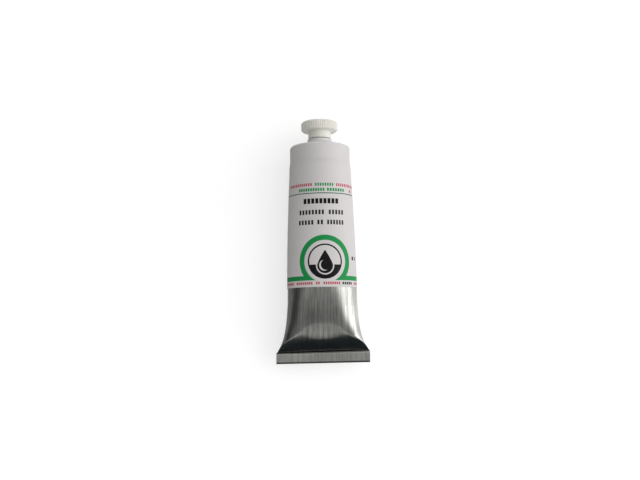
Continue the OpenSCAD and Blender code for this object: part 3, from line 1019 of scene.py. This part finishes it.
stageLook = {
    "floor": (0.62, 0.62, 0.62, 1), "floorLift": 0.58, "floorSize": 30.0,
    "softLeft": 0.23, "softRight": 0.86,            # soft light from all round, more from the right
    "softFoot": 0.75, "softHead": 1.25, "softOver": 0.14,
    "over": 0.19, "head": 0.5, "crease": 0.5,      # what the metal sees overhead and towards both ends
    "right": 1.0, "left": 0.04, "foot": 0.012, "low": 1.0,
    "keyAngle": 64.5, "keyDistance": 1.7, "keySize": (1.5, 1.7), "keyPower": 10.5,
    "footCard": 0.014, "leftCard": 0.22, "leftWall": 0.04,
    "cool": (0.6, 0.95, 1.25, 1), "plain": (1, 1, 1, 1),
    "cardReach": 1500, "cardAhead": 600, "cardLeft": 500, "cardGap": 2, "cardLift": 0.3, "wallHeight": 110,
}
# parts of a unit ray along x, y or z, between which the studio's light changes
skyEdges = {
    "head": (-0.17, 0.21), "crease": (-0.68, -0.86), "footUp": (0.50, 0.06), "foot": (-0.4, -0.7),
    "left": (-0.56, -0.87), "right": (0.5, 0.9), "lowUp": (0.12, 0.05), "low": (-0.5, -0.2), "over": (0.2, 1.0),
}


def seenDirectly(w):
    # 1 for what the camera sees, itself or in a shiny or clear surface
    path = w.node("ShaderNodeLightPath").outputs
    seen = w.plus(path["Is Camera Ray"], path["Is Glossy Ray"])
    return w.plus(seen, path["Is Transmission Ray"], clamp=True)


def flatPiece(name, start, across, along):
    # Rectangle from a corner and its two sides, in millimetres
    start, across, along = (np.array(v, float) for v in (start, across, along))
    points = np.array([start, start + across, start + across + along, start + along])
    return makeMesh(name, points, np.array([[0, 1, 2, 3]]))


def makeFloor():
    size = stageLook["floorSize"] / mm
    floor = flatPiece("paleFloor", (-size, -size, 0), (2 * size, 0, 0), (0, 2 * size, 0))
    material, shader = newMaterial("paleFloor")
    w = Wiring(material.node_tree)
    shader.inputs["Base Color"].default_value = stageLook["floor"]
    shader.inputs["Roughness"].default_value = 0.9
    shader.inputs["Specular IOR Level"].default_value = 0.0
    lift = stageLook["floorLift"]
    shade = w.node("ShaderNodeCombineColor")
    seen = w.times(seenDirectly(w), lift)
    for socket in shade.inputs:
        w.link(seen, socket)
    w.link(shade.outputs[0], shader.inputs["Emission Color"])
    shader.inputs["Emission Strength"].default_value = 1.0
    floor.data.materials.append(material)


def makeCard(name, level, tint, *sides):
    # Studio card beside the tube, that only shiny surfaces see
    card = flatPiece(name, *sides)
    material = bpy.data.materials.new(name)
    material.use_nodes = True
    material.node_tree.nodes.clear()
    w = Wiring(material.node_tree)
    glow = w.node("ShaderNodeEmission")
    glow.inputs["Color"].default_value = tint
    glow.inputs["Strength"].default_value = level
    output = w.node("ShaderNodeOutputMaterial")
    w.link(glow.outputs[0], output.inputs[0])
    card.data.materials.append(material)
    card.visible_camera = card.visible_diffuse = card.visible_shadow = False


def areaLight(name, place, target, size, power):
    lamp = bpy.data.lights.new(name, "AREA")
    lamp.shape = "RECTANGLE"
    lamp.size, lamp.size_y = size
    lamp.energy = power
    made = bpy.data.objects.new(name, lamp)
    made.location = place
    made.rotation_euler = (Vector(target) - Vector(place)).to_track_quat("-Z", "Y").to_euler()
    bpy.context.scene.collection.objects.link(made)
    return made


def makeWorld():
    # Even light for matt surfaces; shiny ones see a studio that is bright on the right, and dark on the
    # left and at the foot
    world = bpy.data.worlds.new("studio")
    bpy.context.scene.world = world
    world.use_nodes = True
    w = Wiring(world.node_tree)
    world.node_tree.nodes.clear()
    x, y, z = w.split(w.node("ShaderNodeTexCoord").outputs["Generated"])
    over = stageLook["over"]
    level = w.ramp(y, *skyEdges["head"], over, stageLook["head"])
    level = w.most(level, w.ramp(y, *skyEdges["crease"], over, stageLook["crease"]))
    footDark = w.times(w.ramp(z, *skyEdges["footUp"]), w.ramp(y, *skyEdges["foot"]))
    level = w.mix(footDark, level, stageLook["foot"])
    for side in ("left", "right"):
        level = w.mix(w.ramp(x, *skyEdges[side]), level, stageLook[side])
    lowStrip = w.times(w.ramp(z, *skyEdges["lowUp"]), w.ramp(y, *skyEdges["low"]))
    level = w.mix(lowStrip, level, stageLook["low"])
    background = w.node("ShaderNodeBackground")
    background.inputs["Color"].default_value = stageLook["plain"]
    soft = w.times(w.ramp(x, -1.0, 1.0, stageLook["softLeft"], stageLook["softRight"]),
                   w.ramp(y, -1.0, 1.0, stageLook["softFoot"], stageLook["softHead"]))
    soft = w.plus(soft, w.ramp(z, *skyEdges["over"], 0.0, stageLook["softOver"]))
    strength = w.mix(seenDirectly(w), soft, level)
    camera = w.node("ShaderNodeLightPath").outputs["Is Camera Ray"]
    w.link(w.mix(camera, strength, 1.0), background.inputs["Strength"])
    output = w.node("ShaderNodeOutputWorld")
    w.link(background.outputs[0], output.inputs[0])


def makeCamera():
    # Above the tube, a little to its foot side, and turned slightly, as the object is seen
    look = {"lens": 56.25, "distance": 0.4748, "tilt": 7.0, "roll": 0.95, "aim": (-0.0006, 0.0011, 0.010)}
    camera = bpy.data.cameras.new("view")
    camera.lens = look["lens"]
    made = bpy.data.objects.new("view", camera)
    tilt = math.radians(look["tilt"])
    back = Vector((0, -math.sin(tilt), math.cos(tilt)))
    turn = Matrix.Rotation(tilt, 4, "X") @ Matrix.Rotation(math.radians(-look["roll"]), 4, "Z")
    made.matrix_world = Matrix.Translation(Vector(look["aim"]) + back * look["distance"]) @ turn
    bpy.context.scene.collection.objects.link(made)
    bpy.context.scene.camera = made


makeFloor()
reach, ahead, left, gap, lift, height = (stageLook[k] for k in (
    "cardReach", "cardAhead", "cardLeft", "cardGap", "cardLift", "wallHeight"))
tall, footCorner, footSide = (0, 0, height), (-reach, -ahead, lift), (2 * reach, 0, 0)
footLevel, cool, plain = stageLook["footCard"], stageLook["cool"], stageLook["plain"]
makeCard("footCard", footLevel, cool, footCorner, footSide, (0, ahead - gap + foldBottom, 0))
makeCard("footWall", footLevel, cool, footCorner, footSide, tall)
makeCard("leftCard", stageLook["leftCard"], plain, (-left, foldBottom - gap, lift),
         (left - 1 - foldHalfW, 0, 0), (0, 140, 0))
makeCard("leftWall", stageLook["leftWall"], plain, (-left, -ahead, lift), (0, 1000, 0), tall)
makeWorld()
keyAngle = math.radians(stageLook["keyAngle"])
keyPlace = Vector((math.sin(keyAngle), -0.03, math.cos(keyAngle))) * stageLook["keyDistance"]
areaLight("keyLight", keyPlace, (0, 0, 0.01), stageLook["keySize"], stageLook["keyPower"])
makeCamera()
bpy.context.scene.view_settings.view_transform = "Standard"
print("stage: floor, light and camera")
